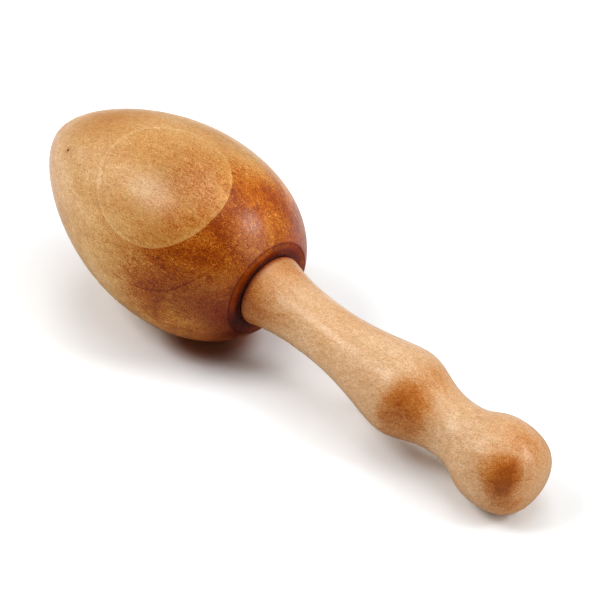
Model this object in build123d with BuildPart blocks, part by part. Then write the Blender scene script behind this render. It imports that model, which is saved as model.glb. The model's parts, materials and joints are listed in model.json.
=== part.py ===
from build123d import *
import math
import os

# A turned wooden darning egg: an egg-shaped head on a slim turned handle, joined by a glued tenon.
# It lies at rest as on a table, on the belly of the egg and on the knob at the end of the handle.
# Units are millimetres and degrees. +Z is up, z = 0 is the table, +X runs from the egg towards the
# knob, and the origin is the middle of the part's footprint.
#
# Both pieces are turned about one axis. A place on it is given as a distance from the egg's flat
# rim, positive towards the knob, and a profile point is (distance from the rim, radius).

# ---- Driving dimensions: the egg ----
egg_diameter = 51.0
nose_length = 50.0
flank_length = 30.0
rim_ledge = 3.25
rim_edge_round = 0.3
# An ease is how far a profile curve keeps its direction from one of its ends, as a share.
tip_ease = 0.36
belly_nose_ease = 0.48
belly_flank_ease = 0.60
rim_ease = 0.225
rim_angle = 56.0

# ---- Driving dimensions: the handle ----
# Its stretches run one after the other from the shoulder, which seats on the egg's rim. The neck,
# bead, waist and knob are level with the axis, and each has one ease for both of its sides.
shoulder_land = 3.35
shoulder_edge_round = 1.2
shoulder_slope = 9.7
shoulder_ease = 0.22
cove_length = 19.7
neck_diameter = 14.6
neck_ease = 0.645
rise_length = 25.9
bead_diameter = 21.5
bead_ease = 0.325
fall_length = 15.1
waist_diameter = 14.7
waist_ease = 0.535
swell_length = 13.6
knob_diameter = 21.3
knob_ease = 0.69
cap_length = 10.3
cap_side_ease = 0.87
cap_end_ease = 0.50

# ---- Driving dimensions: the glued joint ----
socket_diameter = 12.7
socket_depth = 27.0
socket_mouth_chamfer = 0.6
socket_mouth_angle = 90.0
spur_mark_diameter = 3.0
spur_mark_depth = 1.5
glue_thickness = 0.15
tenon_end_space = 2.0
tenon_end_chamfer = 1.0
glue_ring_count = 3
glue_ring_width = 1.2
glue_ring_depth = 0.4

# ---- Sizes worked out from the above ----
socket_radius = socket_diameter / 2
tenon_radius = socket_radius - glue_thickness
tenon_length = socket_depth - tenon_end_space
glue_ring_pitch = tenon_length / (glue_ring_count + 1)
glued_length = tenon_length - tenon_end_chamfer - socket_mouth_chamfer
shoulder_radius = socket_radius + shoulder_land
rim_radius = shoulder_radius + rim_ledge
egg_radius = egg_diameter / 2
egg_length = nose_length + flank_length
neck_radius = neck_diameter / 2
bead_radius = bead_diameter / 2
waist_radius = waist_diameter / 2
knob_radius = knob_diameter / 2
neck_place = cove_length
bead_place = neck_place + rise_length
waist_place = bead_place + fall_length
knob_place = waist_place + swell_length
handle_length = knob_place + cap_length


# ---- Profile curves ----
def level_curve(start, end, start_ease, end_ease):
    """Control points of a curve that lies level with the axis at both of its ends."""
    return [start, (start[0] + start_ease, start[1]), (end[0] - end_ease, end[1]), end]


def egg_curves():
    """The nose, from the tip to the belly, and the flank, from the belly to the rim."""
    tip = (-egg_length, 0)
    tip_side = (-egg_length, tip_ease * egg_radius)
    belly = (-flank_length, egg_radius)
    belly_back = (-flank_length - belly_nose_ease * nose_length, egg_radius)
    belly_ahead = (-flank_length + belly_flank_ease * flank_length, egg_radius)
    pull = rim_ease * flank_length
    angle = math.radians(rim_angle)
    rim_back = (-pull * math.cos(angle), rim_radius + pull * math.sin(angle))
    rim = (0, rim_radius)
    return [[tip, tip_side, belly_back, belly], [belly, belly_ahead, rim_back, rim]]


def handle_curves():
    """The handle's outline: cove, rise, fall, swell and cap, from its shoulder to its end."""
    neck = (neck_place, neck_radius)
    bead = (bead_place, bead_radius)
    waist = (waist_place, waist_radius)
    knob = (knob_place, knob_radius)
    neck_run = neck_ease * min(cove_length, rise_length)
    bead_run = bead_ease * min(rise_length, fall_length)
    waist_run = waist_ease * min(fall_length, swell_length)
    knob_run = knob_ease * min(swell_length, cap_length)
    pull = shoulder_ease * cove_length
    slope = math.radians(shoulder_slope)
    cove = [
        (0, shoulder_radius),
        (pull * math.cos(slope), shoulder_radius - pull * math.sin(slope)),
        (neck_place - neck_run, neck_radius),
        neck,
    ]
    cap = [
        knob,
        (knob_place + cap_side_ease * cap_length, knob_radius),
        (handle_length, cap_end_ease * knob_radius),
        (handle_length, 0),
    ]
    return [
        cove,
        level_curve(neck, bead, neck_run, bead_run),
        level_curve(bead, waist, bead_run, waist_run),
        level_curve(waist, knob, waist_run, knob_run),
        cap,
    ]


# ---- Resting pose ----
curve_steps = 400
halvings = 50
steepest_slope = math.radians(45)


def curve_point(control, share):
    """The point of a cubic curve at a share, 0 to 1, of its way."""
    rest = 1 - share
    weights = (rest**3, 3 * rest**2 * share, 3 * rest * share**2, share**3)
    return tuple(sum(w * point[i] for w, point in zip(weights, control)) for i in (0, 1))


def reach(curves, along, across):
    """How far the turned curves reach from the rim's centre in one direction."""
    shares = [step / curve_steps for step in range(curve_steps + 1)]
    points = [curve_point(curve, share) for curve in curves for share in shares]
    return max(place * along + radius * across for place, radius in points)


def resting_tilt():
    """The slope of the axis, in radians, at which egg and handle touch one flat surface."""
    low, high = -steepest_slope, steepest_slope
    for _ in range(halvings):
        tilt = (low + high) / 2
        sine, cosine = math.sin(tilt), math.cos(tilt)
        if reach(egg_curves(), sine, cosine) > reach(handle_curves(), sine, cosine):
            low = tilt
        else:
            high = tilt
    return (low + high) / 2


tilt = resting_tilt()
all_curves = egg_curves() + handle_curves()
reach_down = reach(all_curves, math.sin(tilt), math.cos(tilt))
reach_back = reach(all_curves, -math.cos(tilt), math.sin(tilt))
reach_ahead = reach(all_curves, math.cos(tilt), math.sin(tilt))

rim_centre = Vector((reach_back - reach_ahead) / 2, 0, reach_down)
turning_direction = Vector(math.cos(tilt), 0, -math.sin(tilt))
turning_axis = Axis(rim_centre, turning_direction)
profile_plane = Plane(origin=rim_centre, x_dir=turning_direction, z_dir=(0, -1, 0))
rim_plane = Plane(origin=rim_centre, x_dir=(0, 1, 0), z_dir=turning_direction)


# ---- Egg ----
with BuildPart() as egg_head:
    with BuildSketch(profile_plane):
        with BuildLine():
            for curve in egg_curves():
                Bezier(*curve)
            Polyline((0, rim_radius), (0, 0), (-egg_length, 0))
        make_face()
    revolve(axis=turning_axis)
    rim_edge = egg_head.edges().filter_by(GeomType.CIRCLE).sort_by(turning_axis)[-1]
    fillet(rim_edge, radius=rim_edge_round)
    with Locations(rim_plane):
        CounterSinkHole(
            radius=socket_radius,
            counter_sink_radius=socket_radius + socket_mouth_chamfer,
            depth=socket_depth,
            counter_sink_angle=socket_mouth_angle,
        )
    with Locations(rim_plane.offset(-socket_depth - spur_mark_depth / 2)):
        Cone(
            bottom_radius=0,
            top_radius=spur_mark_diameter / 2,
            height=spur_mark_depth,
            mode=Mode.SUBTRACT,
        )
egg_head.part.label = "egg_head"


# ---- Handle ----
with BuildPart() as handle:
    with BuildSketch(profile_plane):
        with BuildLine():
            for curve in handle_curves():
                Bezier(*curve)
            Polyline(
                (handle_length, 0),
                (-tenon_length, 0),
                (-tenon_length, tenon_radius),
                (0, tenon_radius),
                (0, shoulder_radius),
            )
        make_face()
        for ring in range(glue_ring_count):
            with Locations((-(ring + 1) * glue_ring_pitch, tenon_radius)):
                Rectangle(glue_ring_width, 2 * glue_ring_depth, mode=Mode.SUBTRACT)
    revolve(axis=turning_axis)
    tenon_end = handle.faces().sort_by(turning_axis)[0]
    chamfer(tenon_end.edges(), length=tenon_end_chamfer)
    shoulder_face = handle.faces().filter_by(GeomType.PLANE).sort_by(turning_axis)[-1]
    fillet(shoulder_face.outer_wire().edges(), radius=shoulder_edge_round)
handle.part.label = "handle"


# ---- Glue ----
with BuildPart() as glue_film:
    with Locations(rim_plane.offset(-socket_mouth_chamfer - glued_length / 2)):
        Cylinder(radius=socket_radius, height=glued_length)
    add(handle.part, mode=Mode.SUBTRACT)
glue_film.part.label = "glue_film"


# ---- Files ----
os.makedirs("parts", exist_ok=True)
export_step(egg_head.part, "parts/egg_head.step")
export_step(handle.part, "parts/handle.step")
export_step(glue_film.part, "parts/glue_film.step")

print(f"axis slope {math.degrees(tilt):.3f} degrees, rim centre {tuple(rim_centre)}")
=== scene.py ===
import json
import math

import bpy
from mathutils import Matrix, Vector, noise


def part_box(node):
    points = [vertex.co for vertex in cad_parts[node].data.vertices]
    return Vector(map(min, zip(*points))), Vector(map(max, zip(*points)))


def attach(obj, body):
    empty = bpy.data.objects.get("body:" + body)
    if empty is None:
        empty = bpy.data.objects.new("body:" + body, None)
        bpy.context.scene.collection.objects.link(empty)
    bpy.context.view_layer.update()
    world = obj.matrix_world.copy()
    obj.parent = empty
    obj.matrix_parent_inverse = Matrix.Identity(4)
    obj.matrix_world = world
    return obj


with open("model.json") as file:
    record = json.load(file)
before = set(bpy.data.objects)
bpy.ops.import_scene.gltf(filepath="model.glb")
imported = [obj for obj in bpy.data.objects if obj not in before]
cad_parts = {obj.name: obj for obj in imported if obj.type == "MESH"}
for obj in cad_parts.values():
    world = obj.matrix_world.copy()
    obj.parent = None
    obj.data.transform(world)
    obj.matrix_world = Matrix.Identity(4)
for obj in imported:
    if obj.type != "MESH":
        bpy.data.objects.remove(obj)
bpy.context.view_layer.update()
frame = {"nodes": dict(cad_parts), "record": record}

# The looks of a turned wooden darning egg. Lengths are in metres, apart from the sizes of a wood and of
# the small pieces of finish, which are in millimetres. A place on the turned axis is its distance from
# the egg's rim, positive towards the knob. An angle about the axis is counted from the top, positive
# towards +Y, so on the camera's side it is negative.
MM = 0.001


# ---- The turned axis, from the frame ----
def mount(name):
    return next(m for m in frame["record"]["mounts"] if m["name"] == name)


film_low, film_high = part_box("glue_film")
film_middle = (film_low + film_high) / 2
axis = Vector(mount("rack_seat")["axis"]).normalized()
rim_point = Vector(mount("rack_seat")["pos_m"])
rim_centre = film_middle + axis * (rim_point - film_middle).dot(axis)
axis_slope = math.atan2(-axis.z, axis.x)
across = Vector((0, 1, 0))
upward = axis.cross(across)


def turned_point(place, angle, radius):
    """A point of the scene by its place and radius in millimetres and its angle in radians."""
    side = upward * math.cos(angle) + across * math.sin(angle)
    return rim_centre + axis * (place * MM) + side * (radius * MM)


def wood_point(place, angle, radius):
    """The same point in a wood's own coordinates: along the axis, across and upward."""
    return (place, radius * math.sin(angle), radius * math.cos(angle))


# ---- Shader nodes ----
class Graph:
    """Adds nodes to one material's or world's tree and links them."""

    def __init__(self, tree):
        self.tree = tree
        self.nodes = tree.nodes
        self.nodes.clear()

    def node(self, kind, **settings):
        made = self.nodes.new(kind)
        for name, value in settings.items():
            setattr(made, name, value)
        return made

    def put(self, value, socket):
        """Links the value to the socket if it is a socket itself, and otherwise writes it there."""
        if isinstance(value, bpy.types.NodeSocket):
            self.tree.links.new(value, socket)
        else:
            socket.default_value = value

    def maths(self, operation, *values):
        made = self.node("ShaderNodeMath", operation=operation)
        for value, socket in zip(values, made.inputs):
            self.put(value, socket)
        return made.outputs[0]

    def times(self, first, second):
        return self.maths("MULTIPLY", first, second)

    def minus(self, first, second):
        return self.maths("SUBTRACT", first, second)

    def plus(self, total, value, amount=1.0):
        """total + value * amount"""
        return self.maths("MULTIPLY_ADD", value, amount, total)

    def hypotenuse(self, first, second):
        return self.maths("SQRT", self.plus(self.times(first, first), self.times(second, second)))

    def vectors(self, operation, *values):
        made = self.node("ShaderNodeVectorMath", operation=operation)
        for value, socket in zip(values, made.inputs):
            self.put(value, socket)
        return made.outputs["Value" if operation in ("LENGTH", "DISTANCE", "DOT_PRODUCT") else "Vector"]

    def parts(self, vector):
        made = self.node("ShaderNodeSeparateXYZ")
        self.put(vector, made.inputs[0])
        return made.outputs

    def placed(self, vector, origin, turn, unit):
        """The vector as seen from a frame with that origin, Euler turn and unit."""
        made = self.node("ShaderNodeMapping", vector_type="TEXTURE")
        self.put(vector, made.inputs["Vector"])
        made.inputs["Location"].default_value = origin
        made.inputs["Rotation"].default_value = turn
        made.inputs["Scale"].default_value = (unit, unit, unit)
        return made.outputs[0]

    def noise(self, vector, size, detail=2.0, roughness=0.5, distortion=0.0):
        """Noise of about 0 to 1 round 0.5, whose lumps measure size along x, y and z."""
        made = self.node("ShaderNodeTexNoise")
        self.put(self.vectors("DIVIDE", vector, size), made.inputs["Vector"])
        made.inputs["Scale"].default_value = 1.0
        made.inputs["Detail"].default_value = detail
        made.inputs["Roughness"].default_value = roughness
        made.inputs["Distortion"].default_value = distortion
        return made.outputs["Fac"]

    def fade(self, value, low, high, first=0.0, last=1.0, shape="SMOOTHSTEP"):
        """From first, where the value is low or less, to last, where it is high or more."""
        made = self.node("ShaderNodeMapRange", interpolation_type=shape)
        for amount, socket in zip((value, low, high, first, last), made.inputs):
            self.put(amount, socket)
        return made.outputs[0]

    def mix(self, share, first, second, kind="MIX"):
        """Two colours mixed. The node has sockets for each type of data, and 6, 7 and 2 are the colours'."""
        made = self.node("ShaderNodeMix", data_type="RGBA", blend_type=kind)
        for value, socket in ((share, 0), (first, 6), (second, 7)):
            self.put(value, made.inputs[socket])
        return made.outputs[2]

    def ramp(self, value, low, high, stops):
        """A colour by the value, from (value, colour) stops between low and high."""
        made = self.node("ShaderNodeValToRGB")
        self.put(self.fade(value, low, high, shape="LINEAR"), made.inputs[0])
        elements = made.color_ramp.elements
        while len(elements) < len(stops):
            elements.new(1.0)
        for element, (stop, colour) in zip(elements, stops):
            element.position = (stop - low) / (high - low)
            element.color = colour
        return made.outputs[0]

    def shader(self, kind, inputs):
        """A shader node's output, after its inputs are put in by their names."""
        made = self.node(kind)
        for name, value in inputs.items():
            self.put(value, made.inputs[name])
        return made.outputs[0]

    def end(self, kind, surface):
        """Ends the tree with its output node, of the kind Material or World."""
        self.put(surface, self.node("ShaderNodeOutput" + kind).inputs["Surface"])


def srgb(red, green, blue):
    """A colour written in the usual 0 to 255 values, as the linear one that shaders take."""
    def linear(value):
        value /= 255
        return value / 12.92 if value <= 0.04045 else ((value + 0.055) / 1.055) ** 2.4
    return (linear(red), linear(green), linear(blue), 1.0)


def grey(value):
    return (value, value, value, 1.0)


def new_material(name):
    made = bpy.data.materials.new(name)
    made.use_nodes = True
    return made, Graph(made.node_tree)


# ---- Wood: what is the same in both pieces ----
# A noise's size is its lumps' length along the grain and across it, but the clouds' is along and across
# the turned axis. The waver is what keeps the growth rings from being perfect cylinders.
cloud_noise = dict(size=(16.0, 9.0, 9.0), detail=3.0, roughness=0.6, distortion=0.8)
figure_noise = dict(size=(4.0, 1.8, 1.8), detail=4.0, roughness=0.7, distortion=1.2)
streak_noise = dict(size=(6.0, 0.5, 0.5), detail=2.0, roughness=0.6, distortion=0.6)
fleck_noise = dict(size=(0.80, 0.36, 0.36), detail=1.0, roughness=0.6, distortion=2.0)
waver_noise = dict(size=(60.0, 16.0, 16.0), detail=1.0)
noise_middle = 0.5
mottle_low, mottle_high = 0.25, 0.75

# Growth rings, in years of growth inwards from the outermost ring line. Only the waver and the start of
# the far side, which is the one away from -Y, are in millimetres.
ring_waver = 1.2
edge_blur = 0.01
pale_edge_rise = (-0.10, -0.02)
dark_border_end = 0.4
line_rise = (0.91, 0.975)
line_fall = (0.985, 1.0)
lines_start = (0.0, 0.5)
inner_lines_start = (1.1, 1.8)
far_side_start = (-20.0, -13.0)

# How far each thing sways the stain that the wood drinks, which is about 0 in pale wood and 1 in dark.
# The clouds sway it by more in dark wood, and the flecks only there.
cloud_sway, cloud_share_in_pale, cloud_share_in_dark = 0.22, 0.75, 1.1
dark_for_clouds = 0.5
figure_sway = 0.16
line_sway, least_line_sway = 0.36, 0.04
pale_edge_sway, dark_border_sway, outside_sway = -0.34, 0.17, 0.12
fleck_low, fleck_high = 0.2, 0.8
dark_for_flecks = (0.1, 0.7)
least_drunk, most_drunk = -0.2, 1.2

# Tints: of the darkest and lightest streaks, and the flecks' strength in red, green and blue.
streak_dark, streak_light = (0.93, 0.88, 0.84, 1.0), grey(1.06)
fleck_strengths = (0.7, 1.0, 1.5)
circle_core = 0.3
knot_halo, knot_halo_start, knot_halo_end = 0.6, 0.3, 1.6

# Lacquer: a satin coat whose gloss varies with the figure, over barely open pores.
gloss_low, gloss_high = 0.2, 0.8
least_roughness, most_roughness = 0.27, 0.40
lacquer_optics = {
    "IOR": 1.5,
    "Specular IOR Level": 0.34,
    "Specular Tint": (1.0, 0.90, 0.78, 1.0),
    "Coat Weight": 0.12,
    "Coat Roughness": 0.22,
}
pore_depth = 0.008 * MM


class TurnedWood:
    """The material of a lacquered wooden piece that was turned on the axis.

    blank says how the piece lay in its tree. pith is a point of the tree's centre line and lean that
    line's Euler turn. Growth rings are cylinders about it: ring_edge is the radius of the outermost
    ring line that shows, and ring_width a year's growth. Wood outside that line takes outside_share of
    the stain. inner_lines and far_lines are the strength of the ring lines inside the second one and on
    the far side. fleck_tint and fleck_thirst are how far the flecks sway the tone and the stain.
    """

    def __init__(self, name, blank):
        self.material, self.graph = new_material(name)
        self.blank = blank
        graph = self.graph
        place = graph.node("ShaderNodeTexCoord").outputs["Object"]
        self.turned = graph.placed(place, rim_centre, (0, axis_slope, 0), MM)
        self.place, self.aside, self.above = graph.parts(self.turned)
        self.facing = graph.node("ShaderNodeNewGeometry").outputs["Normal"]
        grain = graph.placed(self.turned, blank["pith"], blank["lean"], 1.0)
        self.clouds = graph.noise(self.turned, **cloud_noise)
        self.figure = graph.noise(grain, **figure_noise)
        self.streaks = graph.noise(grain, **streak_noise)
        self.flecks = graph.noise(grain, **fleck_noise)
        self.years = self.count_years(grain)

    def count_years(self, grain):
        """The years inwards from the outermost ring line, which are negative outside it."""
        graph, blank = self.graph, self.blank
        _, aside, above = graph.parts(grain)
        waver = graph.minus(graph.noise(grain, **waver_noise), noise_middle)
        radius = graph.plus(graph.hypotenuse(aside, above), waver, ring_waver)
        return graph.maths("DIVIDE", graph.minus(blank["ring_edge"], radius), blank["ring_width"])

    def outside(self):
        """1 outside the outermost ring line and 0 inside it."""
        return self.graph.fade(self.years, -edge_blur, edge_blur, 1.0, 0.0)

    def ring_lines(self):
        """The dark line at the end of each year inside the outermost ring line."""
        graph, blank = self.graph, self.blank
        age = graph.maths("FRACT", self.years)
        line = graph.times(graph.fade(age, *line_rise), graph.fade(age, *line_fall, 1.0, 0.0))
        line = graph.times(line, graph.fade(self.years, *lines_start))
        line = graph.times(line, graph.fade(self.years, *inner_lines_start, 1.0, blank["inner_lines"]))
        return graph.times(line, graph.fade(self.aside, *far_side_start, 1.0, blank["far_lines"]))

    def end_grain(self, fibre, thirst):
        """The stain by how squarely the fibre, as (axis, across, upward), meets the surface."""
        graph = self.graph
        run = (axis * fibre[0] + across * fibre[1] + upward * fibre[2]).normalized()
        end_on = graph.vectors("DOT_PRODUCT", self.facing, tuple(run))
        return graph.ramp(end_on, -1.0, 1.0, [(meeting, grey(stain)) for meeting, stain in thirst])

    def patch(self, place, angle, radius, reach):
        """A ragged patch, 1 at a place, angle in degrees and radius, and 0 past its reach."""
        graph = self.graph
        centre = wood_point(place, math.radians(angle), radius)
        apart = graph.vectors("DISTANCE", self.turned, centre)
        ragged = graph.plus(apart, graph.minus(self.clouds, noise_middle), reach)
        return graph.fade(ragged, 0.0, reach, 1.0, 0.0)

    def circle(self, place, radius, reach):
        """A ring all the way round the axis, 1 at its core and 0 past its reach."""
        graph = self.graph
        lengthways = graph.minus(self.place, place)
        outwards = graph.minus(graph.hypotenuse(self.aside, self.above), radius)
        apart = graph.hypotenuse(lengthways, outwards)
        return graph.fade(apart, circle_core * reach, reach, 1.0, 0.0)

    def soak(self, fibre, thirst, swing, stains):
        """The stain that the wood drinks by its end grain, with the stains placed one by one."""
        graph = self.graph
        drunk = self.end_grain(fibre, thirst)
        if swing:
            swung = graph.fade(self.place, swing["first"], swing["last"])
            drunk = graph.mix(swung, drunk, self.end_grain(swing["fibre"], swing["thirst"]))
        share = graph.fade(self.outside(), 0.0, 1.0, 1.0, self.blank["outside_share"], shape="LINEAR")
        drunk = graph.times(drunk, share)
        for *spot, amount in stains:
            drunk = graph.plus(drunk, self.patch(*spot), amount)
        return drunk

    def vary(self, drunk):
        """The stain with the sway of clouds, figure, ring lines, ring edge and flecks."""
        graph = self.graph
        uneven = graph.fade(drunk, 0.0, dark_for_clouds, cloud_share_in_pale, cloud_share_in_dark)
        cloudy = graph.fade(self.clouds, mottle_low, mottle_high, -cloud_sway, cloud_sway)
        drunk = graph.plus(drunk, cloudy, uneven)
        curly = graph.fade(self.figure, mottle_low, mottle_high, -figure_sway, figure_sway)
        drunk = graph.plus(drunk, curly)
        drunk = graph.plus(drunk, self.ring_lines(), graph.plus(least_line_sway, drunk, line_sway))

        outside = self.outside()
        edge_step = 1 - self.blank["outside_share"]
        pale_edge = graph.times(graph.fade(self.years, *pale_edge_rise), outside)
        inside = graph.fade(self.years, -edge_blur, edge_blur)
        dark_border = graph.times(inside, graph.fade(self.years, 0.0, dark_border_end, 1.0, 0.0))
        drunk = graph.plus(drunk, pale_edge, pale_edge_sway * edge_step)
        drunk = graph.plus(drunk, dark_border, dark_border_sway * edge_step)

        most = self.blank["fleck_thirst"]
        flecked = graph.fade(self.flecks, fleck_low, fleck_high, most, -most, shape="LINEAR")
        drunk = graph.plus(drunk, flecked, graph.fade(drunk, *dark_for_flecks))
        return graph.plus(drunk, outside, outside_sway * edge_step)

    def mottle(self, colour):
        """The colour with the flecks' and the streaks' own tints."""
        graph = self.graph
        swings = [strength * self.blank["fleck_tint"] for strength in fleck_strengths]
        fleck_dark = (*(1 - swing for swing in swings), 1.0)
        fleck_light = (*(1 + swing for swing in swings), 1.0)
        for pattern, dark, light in ((self.flecks, fleck_dark, fleck_light),
                                     (self.streaks, streak_dark, streak_light)):
            stops = [(mottle_low, dark), (noise_middle, grey(1.0)), (mottle_high, light)]
            colour = graph.mix(1.0, colour, graph.ramp(pattern, 0.0, 1.0, stops), kind="MULTIPLY")
        return colour

    def lacquer(self, colour):
        """Ends the material with its lacquered surface."""
        graph = self.graph
        bump = graph.node("ShaderNodeBump")
        bump.inputs["Strength"].default_value = 1.0
        bump.inputs["Distance"].default_value = pore_depth
        graph.put(self.flecks, bump.inputs["Height"])
        roughness = graph.fade(self.figure, gloss_low, gloss_high, least_roughness, most_roughness)
        inputs = {"Base Color": colour, "Roughness": roughness, "Normal": bump.outputs[0]}
        graph.end("Material", graph.shader("ShaderNodeBsdfPrincipled", {**inputs, **lacquer_optics}))


def turned_wood(name, blank, tones, fibre, thirst, swing=None, stains=(), marks=(), circles=(), knot=None):
    """Lacquered wood, stained where its end grain shows.

    tones has the wood's colour by the stain that it drank. thirst has that stain by how the fibre meets
    the surface: -1 where it leaves squarely, 0 where it runs along and 1 where it enters squarely. swing
    is another fibre and thirst, which take over between its first and its last place. A stain is (place,
    angle in degrees, radius, reach, amount), a mark is the same with a tint for its amount, and a circle
    is (place, radius, reach, tint). knot is the middle of a halo in the darkest tone but one.
    """
    wood = TurnedWood(name, blank)
    graph = wood.graph
    drunk = wood.vary(wood.soak(fibre, thirst, swing, stains))
    colour = graph.ramp(drunk, least_drunk, most_drunk, tones)
    tints = [(wood.patch(*spot), tint) for *spot, tint in marks]
    tints += [(wood.circle(*ring), tint) for *ring, tint in circles]
    for share, tint in tints:
        colour = graph.mix(share, colour, (*tint, 1.0), kind="MULTIPLY")
    colour = wood.mottle(colour)
    if knot:
        apart = graph.vectors("DISTANCE", wood.turned, knot)
        halo = graph.fade(apart, knot_halo_start, knot_halo_end, knot_halo, 0.0)
        colour = graph.mix(halo, colour, tones[-2][1])
    wood.lacquer(colour)
    return wood.material


# ---- The egg's wood ----
egg_knot = dict(place=-61.0, angle=math.atan2(-13.3, 11.7), radius=17.73)

egg_wood = turned_wood(
    "lacquered_egg_wood",
    blank=dict(pith=(-28.0, 12.34, -23.25), lean=(0.0, 0.026, 0.023), ring_edge=48.62, ring_width=4.68,
               outside_share=0.42, inner_lines=0.3, far_lines=0.25, fleck_tint=0.56, fleck_thirst=0.50),
    tones=[(-0.2, srgb(222, 174, 116)), (0.0, srgb(212, 158, 94)), (0.35, srgb(201, 138, 70)),
           (0.7, srgb(186, 104, 24)), (1.0, srgb(168, 78, 8)), (1.2, srgb(136, 54, 5))],
    fibre=(1.0, -0.15, 0.05),
    thirst=[(-1.0, 0.7), (-0.75, 0.4), (-0.5, 0.08), (-0.2, 0.0), (0.0, 0.03), (0.15, 0.25),
            (0.3, 0.65), (0.42, 0.95), (0.6, 1.0), (0.8, 0.95), (0.96, 1.0), (0.99, 1.2)],
    stains=[(-24.0, -10.0, 25.2, 15.0, 0.22)],
    marks=[
        # Darker or redder on the flank, at the rim and on the nose. The second, third and fourth marks are
        # painted shade under the rim and on its low side.
        (-12.0, -66.0, 20.0, 22.0, (0.87, 0.80, 0.60)),
        (-1.0, -94.0, 14.0, 8.5, (0.60, 0.30, 0.14)),
        (-0.5, -137.0, 13.2, 10.0, (0.30, 0.07, 0.03)),
        (0.0, -112.0, 11.5, 4.5, (0.50, 0.24, 0.16)),
        (-8.7, -84.0, 20.5, 8.0, (0.82, 0.64, 0.46)),
        (0.0, 48.0, 11.4, 7.0, (1.05, 0.62, 0.40)),
        (-57.0, -5.0, 19.0, 15.0, (0.86, 0.72, 0.45)),
        # Less red at the belly.
        (-27.0, -24.0, 25.0, 14.0, (0.90, 0.97, 1.08)),
        # Lighter on the flank and the underside, partly paler wood and partly painted light: painted bounce
        # light on the underside, a painted sheen along the upper right edge and a painted highlight on the
        # flank near the rim.
        (-8.0, 16.0, 20.0, 18.0, (1.26, 1.2, 0.85)),
        (-38.0, -98.0, 25.0, 26.0, (1.18, 1.32, 1.5)),
        (-13.0, -108.0, 22.0, 12.0, (1.4, 1.95, 2.6)),
        (-8.7, 48.0, 20.0, 7.0, (1.2, 1.3, 1.2)),
        (-5.0, -12.0, 18.0, 8.0, (1.12, 1.22, 1.5)),
        (-13.0, -20.0, 23.0, 9.0, (1.06, 1.08, 1.25)),
    ],
    circles=[(0.0, 12.9, 0.5, (0.62, 0.42, 0.35)), (0.0, 9.8, 2.2, (0.55, 0.36, 0.28))],
    knot=wood_point(**egg_knot),
)


# ---- The handle's wood ----
handle_wood = turned_wood(
    "lacquered_handle_wood",
    blank=dict(pith=(95.4, -15.1, -27.4), lean=(0.0, -0.447, 0.0), ring_edge=41.4, ring_width=5.4,
               outside_share=1.0, inner_lines=0.6, far_lines=1.0, fleck_tint=0.42, fleck_thirst=0.20),
    tones=[(-0.2, srgb(230, 189, 146)), (0.0, srgb(223, 177, 131)), (0.35, srgb(216, 159, 106)),
           (0.7, srgb(200, 126, 60)), (1.0, srgb(184, 102, 38)), (1.2, srgb(160, 80, 22))],
    fibre=(1.0, -0.3, 0.0),
    thirst=[(-1.0, 0.3), (-0.6, 0.0), (0.12, 0.0), (0.27, 0.1), (0.36, 0.35), (0.46, 0.62),
            (0.56, 0.85), (1.0, 1.0)],
    swing=dict(first=58.0, last=68.0, fibre=(1.0, -1.64, 1.16),
               thirst=[(-1.0, 0.6), (-0.85, 0.1), (-0.7, 0.0), (0.78, 0.0), (0.86, 0.15), (0.92, 0.6),
                       (0.97, 0.9), (1.0, 1.0)]),
    stains=[
        # Past the bead, then on the knob, then at the shoulder.
        (52.3, 17.0, 9.0, 9.0, 0.22),
        (51.5, -53.0, 9.3, 6.0, 0.15),
        (53.0, -95.0, 9.0, 8.5, -0.20),
        (80.0, 0.0, 9.5, 12.0, 0.56),
        (82.6, -100.0, 7.5, 9.8, 0.66),
        (5.0, 20.0, 8.5, 9.0, 0.5),
    ],
    # Lighter on the neck's low side towards the camera: painted fill light.
    marks=[(24.0, -85.0, 7.5, 20.0, (1.10, 1.14, 1.15))],
    circles=[(0.5, 9.7, 1.8, (0.70, 0.32, 0.18)), (0.0, 9.7, 9.0, (0.98, 0.88, 0.76))],
)


# ---- Plain finishes ----
plain_low, plain_high = 0.35, 0.65
uneven_low, uneven_high, unevenness = 0.3, 0.7, 0.06
plain_specular = 0.2


def plain_finish(name, light, dark, size, roughness):
    """A small part's finish: two close colours in soft clouds of that size."""
    material, graph = new_material(name)
    place = graph.node("ShaderNodeTexCoord").outputs["Object"]
    clouds = graph.noise(place, (size, size, size), detail=3.0)
    uneven = graph.fade(clouds, uneven_low, uneven_high, roughness - unevenness, roughness + unevenness)
    graph.end("Material", graph.shader("ShaderNodeBsdfPrincipled", {
        "Base Color": graph.mix(graph.fade(clouds, plain_low, plain_high), light, dark),
        "Roughness": uneven,
        "Specular IOR Level": plain_specular,
    }))
    return material


glue = plain_finish("cured_wood_glue", srgb(222, 200, 140), srgb(200, 172, 110), 2 * MM, 0.6)
# The seam's dark colour is partly pooled stain and partly painted shade of the groove.
seam_stain_and_shade = plain_finish("pooled_seam_stain_and_shade", srgb(84, 18, 6), srgb(50, 9, 3), 1.5 * MM, 0.65)
knot_wood = plain_finish("pin_knot_wood", srgb(48, 7, 3), srgb(24, 3, 2), 0.3 * MM, 0.85)

for node, material in (("egg_head", egg_wood), ("handle", handle_wood), ("glue_film", glue)):
    frame["nodes"][node].data.materials.clear()
    frame["nodes"][node].data.materials.append(material)


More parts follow.
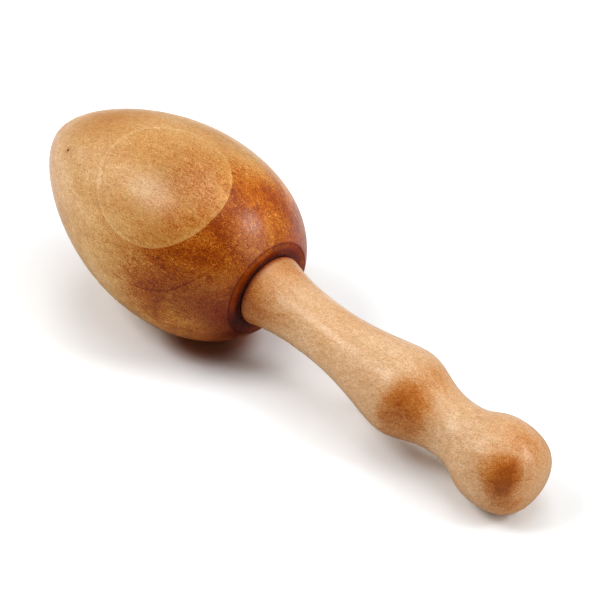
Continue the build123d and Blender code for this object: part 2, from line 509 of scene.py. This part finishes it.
# ---- Small pieces of the finish ----
def surface_piece(name, rows, material):
    """A smooth ring or disc from rows of points. Each row runs across it, and the last joins the first."""
    mesh = bpy.data.meshes.new(name)
    width = len(rows[0])
    faces = []
    for row in range(len(rows)):
        this, after = row * width, (row + 1) % len(rows) * width
        faces += [(this + i, after + i, after + i + 1, this + i + 1) for i in range(width - 1)]
    mesh.from_pydata([point for row in rows for point in row], [], faces)
    mesh.polygons.foreach_set("use_smooth", [True] * len(mesh.polygons))
    mesh.materials.append(material)
    made = bpy.data.objects.new(name, mesh)
    bpy.context.scene.collection.objects.link(made)
    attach(made, "root")


def round_angles(steps):
    """Angles in radians, evenly all the way round."""
    return [math.tau * step / steps for step in range(steps)]


# The seam's rows cross the groove from the shoulder's round to the egg's rim. On the low side the stain
# spreads further over the rim and climbs further up the round, as painted shade. The climb and that side are
# in degrees.
shoulder_radius, shoulder_round = 9.7, 1.2
seam_steps, seam_points = 240, 9
low_side_angle, low_side_width = 262, 42
ripple_circle, ripple_level = 3, 1.7
least_spread, low_side_spread, ripple_spread = 0.12, 0.80, 0.05
least_climb, low_side_climb, ripple_climb = 46, 14, 6
toe_sink = 0.02
bend_rise, bend_inset = 0.06, 0.1


def seam_row(angle):
    low_side = math.exp(-(((math.degrees(angle) - low_side_angle) / low_side_width) ** 2))
    ripple_spot = (ripple_circle * math.cos(angle), ripple_circle * math.sin(angle), ripple_level)
    ripple = noise.noise(Vector(ripple_spot))
    spread = least_spread + low_side_spread * low_side + ripple_spread * ripple
    climb = math.radians(least_climb + low_side_climb * low_side + ripple_climb * ripple)
    foot_place = shoulder_round * (1 - math.cos(climb))
    foot_radius = shoulder_radius - shoulder_round * (1 - math.sin(climb))
    bend_radius = foot_radius - bend_inset
    toe_radius = shoulder_radius + spread
    row = []
    for point in range(seam_points):
        share = point / (seam_points - 1)
        foot, bend, toe = (1 - share) ** 2, 2 * share * (1 - share), share**2
        place = foot * foot_place + bend * bend_rise - toe * toe_sink
        row.append(turned_point(place, angle, foot * foot_radius + bend * bend_radius + toe * toe_radius))
    return row


def seam_finish_and_shade():
    """Dark stain and lacquer pooled in the groove between the rim and the handle's round shoulder, with
    painted shade of the groove, widest on the low side.
    """
    rows = [seam_row(angle) for angle in round_angles(seam_steps)]
    surface_piece("seam_finish_and_shade", rows, seam_stain_and_shade)


# The knot's outline is an oval with small lobes. It stands a little proud in the middle, and its edge
# is sunk into the egg's skin.
knot_steps = 24
knot_rings = (0.0, 0.35, 0.7, 0.9, 1.0)
knot_half_length = 0.45
two_lobes, two_lobes_turn, three_lobes = 0.05, 0.6, 0.03
knot_narrowness = 0.8
knot_height, knot_sink = 0.05, 0.012


def pin_knot():
    """A pin knot: a small dark dot of hard wood, all but level with the egg's skin."""
    egg = frame["nodes"]["egg_head"]
    middle = egg.matrix_world.inverted() @ turned_point(**egg_knot)
    _, spot, facing, _ = egg.closest_point_on_mesh(middle)
    side = facing.cross(axis).normalized()
    ahead = side.cross(facing)
    rows = []
    for turn in round_angles(knot_steps):
        lobes = two_lobes * math.sin(2 * turn + two_lobes_turn) + three_lobes * math.sin(3 * turn)
        row = []
        for share in knot_rings:
            reach = share * (knot_half_length + lobes) * MM
            sideways, forwards = reach * knot_narrowness * math.cos(turn), reach * math.sin(turn)
            _, skin, out, _ = egg.closest_point_on_mesh(spot + side * sideways + ahead * forwards)
            height = (knot_height * (1 - share**2) - knot_sink) * MM
            row.append(egg.matrix_world @ (skin + out * height))
        rows.append(row)
    surface_piece("pin_knot", rows, knot_wood)


seam_finish_and_shade()
pin_knot()


# ---- Camera ----
view_azimuth = math.radians(45.05)
view_elevation = math.radians(35.06)
view_distance = 364.6 * MM
view_aim = Vector((5.2, 3.7, 20.0)) * MM
focal_length = 90.0
nearest_seen = 0.01


def direction(azimuth, elevation):
    """The way to a place at that azimuth, 0 on the -Y side, and elevation, both in radians."""
    level = math.cos(elevation)
    return Vector((math.sin(azimuth) * level, -math.cos(azimuth) * level, math.sin(elevation)))


def aimed(name, data, towards, distance):
    """Adds a lamp or camera at that distance from the aim, and turns it there."""
    made = bpy.data.objects.new(name, data)
    made.location = view_aim + towards * distance
    made.rotation_euler = towards.to_track_quat("Z", "Y").to_euler()
    bpy.context.scene.collection.objects.link(made)
    return made


def studio_camera():
    lens = bpy.data.cameras.new("camera")
    lens.lens = focal_length
    lens.clip_start = nearest_seen
    towards = direction(view_azimuth, view_elevation)
    bpy.context.scene.camera = aimed("camera", lens, towards, view_distance)


# ---- Light ----
lamp_distance = 0.9


def softbox(name, azimuth, elevation, size, level):
    """A square lamp aimed at the object from those angles in degrees.

    level is how bright it alone makes a white face that is turned to it.
    """
    lamp = bpy.data.lights.new(name, "AREA")
    lamp.shape = "SQUARE"
    lamp.size = size
    lamp.energy = level * math.pi**2 * lamp_distance**2
    aimed(name, lamp, direction(math.radians(azimuth), math.radians(elevation)), lamp_distance)


softbox("left_softbox", -40.0, 52.0, 0.36, 0.46)
softbox("right_softbox", 120.0, 43.0, 0.30, 0.35)
softbox("top_softbox", 180.0, 84.0, 0.60, 0.27)
softbox("left_fill", -66.0, 28.0, 0.60, 0.17)
softbox("right_fill", 105.0, 25.0, 0.60, 0.24)

# The world's strength goes by a ray's heading: 1 is straight to the front, below the camera, and -1 back.
front_elevation = math.radians(15)
lit_fade, lit_strength = (0.0, 0.8), 0.30
backdrop_fade, backdrop_strength = (-0.6, 0.3), 0.35


def studio_world():
    """A white studio that is darker behind the camera. A camera ray sees plain white."""
    world = bpy.data.worlds.new("studio")
    world.use_nodes = True
    graph = Graph(world.node_tree)
    ray = graph.node("ShaderNodeTexCoord").outputs["Generated"]
    path = graph.node("ShaderNodeLightPath")
    frontal = graph.vectors("DOT_PRODUCT", ray, tuple(direction(view_azimuth, front_elevation)))
    lit = graph.fade(frontal, *lit_fade, lit_strength, 0.0)
    backdrop = graph.fade(frontal, *backdrop_fade, backdrop_strength, 0.0)
    mirrored = graph.times(path.outputs["Is Glossy Ray"], backdrop)
    strength = graph.maths("MAXIMUM", graph.maths("MAXIMUM", lit, mirrored), path.outputs["Is Camera Ray"])
    graph.end("World", graph.shader("ShaderNodeBackground", {"Color": grey(1.0), "Strength": strength}))
    bpy.context.scene.world = world


# ---- Floor ----
# What the camera sees: a pale floor, warm and dark in the shade under the egg.
floor_half = 3.0
seen_floor = (0.955, 0.985, 1.0, 1.0)
shade_middle = (-20 * MM, -3 * MM, 0.0)
shade_fade = (7 * MM, 15 * MM)
shade_tint = (0.38, 0.18, 0.11, 1.0)
# What lights the object, and what its lacquer mirrors: less of the floor towards the camera.
lighting_floor = grey(0.85)
mirrored_fade = (-0.10, 0.0)
mirrored_near, mirrored_far = grey(0.2), grey(1.0)
# The glow that whitens the floor for the camera: a little of it clear of the egg and of the handle's
# low end, and more further out, where distances along X count for half.
egg_middle = (-34 * MM, 0.0, 0.0)
egg_clear = (25 * MM, 41 * MM)
low_end_middle, low_end_half = 58 * MM, 14 * MM
low_end_clear = (4 * MM, 14 * MM)
clear_glow = 0.15
outward_squeeze = (0.5, 1.0, 1.0)
near_glow_fade, near_glow = (0.03, 0.15), 0.25
far_glow_fade = (0.15, 0.8)


def floor_colour(graph, path, place):
    from_shade = graph.vectors("DISTANCE", place, shade_middle)
    pale = graph.mix(graph.fade(from_shade, *shade_fade), shade_tint, seen_floor)
    seen = graph.mix(path.outputs["Is Camera Ray"], lighting_floor, pale)
    forward = graph.vectors("DOT_PRODUCT", place, tuple(direction(view_azimuth, 0.0)))
    mirrored = graph.mix(graph.fade(forward, *mirrored_fade, 1.0, 0.0), mirrored_near, mirrored_far)
    return graph.mix(path.outputs["Is Glossy Ray"], seen, mirrored)


def floor_glow(graph, path, place):
    along, aside, _ = graph.parts(place)
    from_middle = graph.maths("ABSOLUTE", graph.minus(along, low_end_middle))
    past_ends = graph.maths("MAXIMUM", graph.minus(from_middle, low_end_half), 0.0)
    from_low_end = graph.hypotenuse(past_ends, aside)
    from_egg = graph.vectors("DISTANCE", place, egg_middle)
    clear = graph.times(graph.fade(from_egg, *egg_clear), graph.fade(from_low_end, *low_end_clear))
    apart = graph.vectors("LENGTH", graph.vectors("MULTIPLY", place, outward_squeeze))
    outer = graph.plus(graph.fade(apart, *near_glow_fade, 0.0, near_glow), graph.fade(apart, *far_glow_fade))
    return graph.times(path.outputs["Is Camera Ray"], graph.plus(outer, clear, clear_glow))


def studio_floor():
    """A wide pale floor at the object's foot."""
    mesh = bpy.data.meshes.new("floor")
    corners = [(x * floor_half, y * floor_half, 0) for x, y in ((-1, -1), (1, -1), (1, 1), (-1, 1))]
    mesh.from_pydata(corners, [], [(0, 1, 2, 3)])
    made = bpy.data.objects.new("floor", mesh)
    bpy.context.scene.collection.objects.link(made)
    material, graph = new_material("pale_floor")
    path = graph.node("ShaderNodeLightPath")
    place = graph.node("ShaderNodeTexCoord").outputs["Object"]
    diffuse = graph.shader("ShaderNodeBsdfDiffuse", {"Color": floor_colour(graph, path, place)})
    glow = graph.shader("ShaderNodeEmission", {"Strength": floor_glow(graph, path, place)})
    both = graph.node("ShaderNodeAddShader")
    graph.put(diffuse, both.inputs[0])
    graph.put(glow, both.inputs[1])
    graph.end("Material", both.outputs[0])
    mesh.materials.append(material)


studio_world()
studio_floor()
studio_camera()
bpy.context.scene.view_settings.view_transform = "Standard"
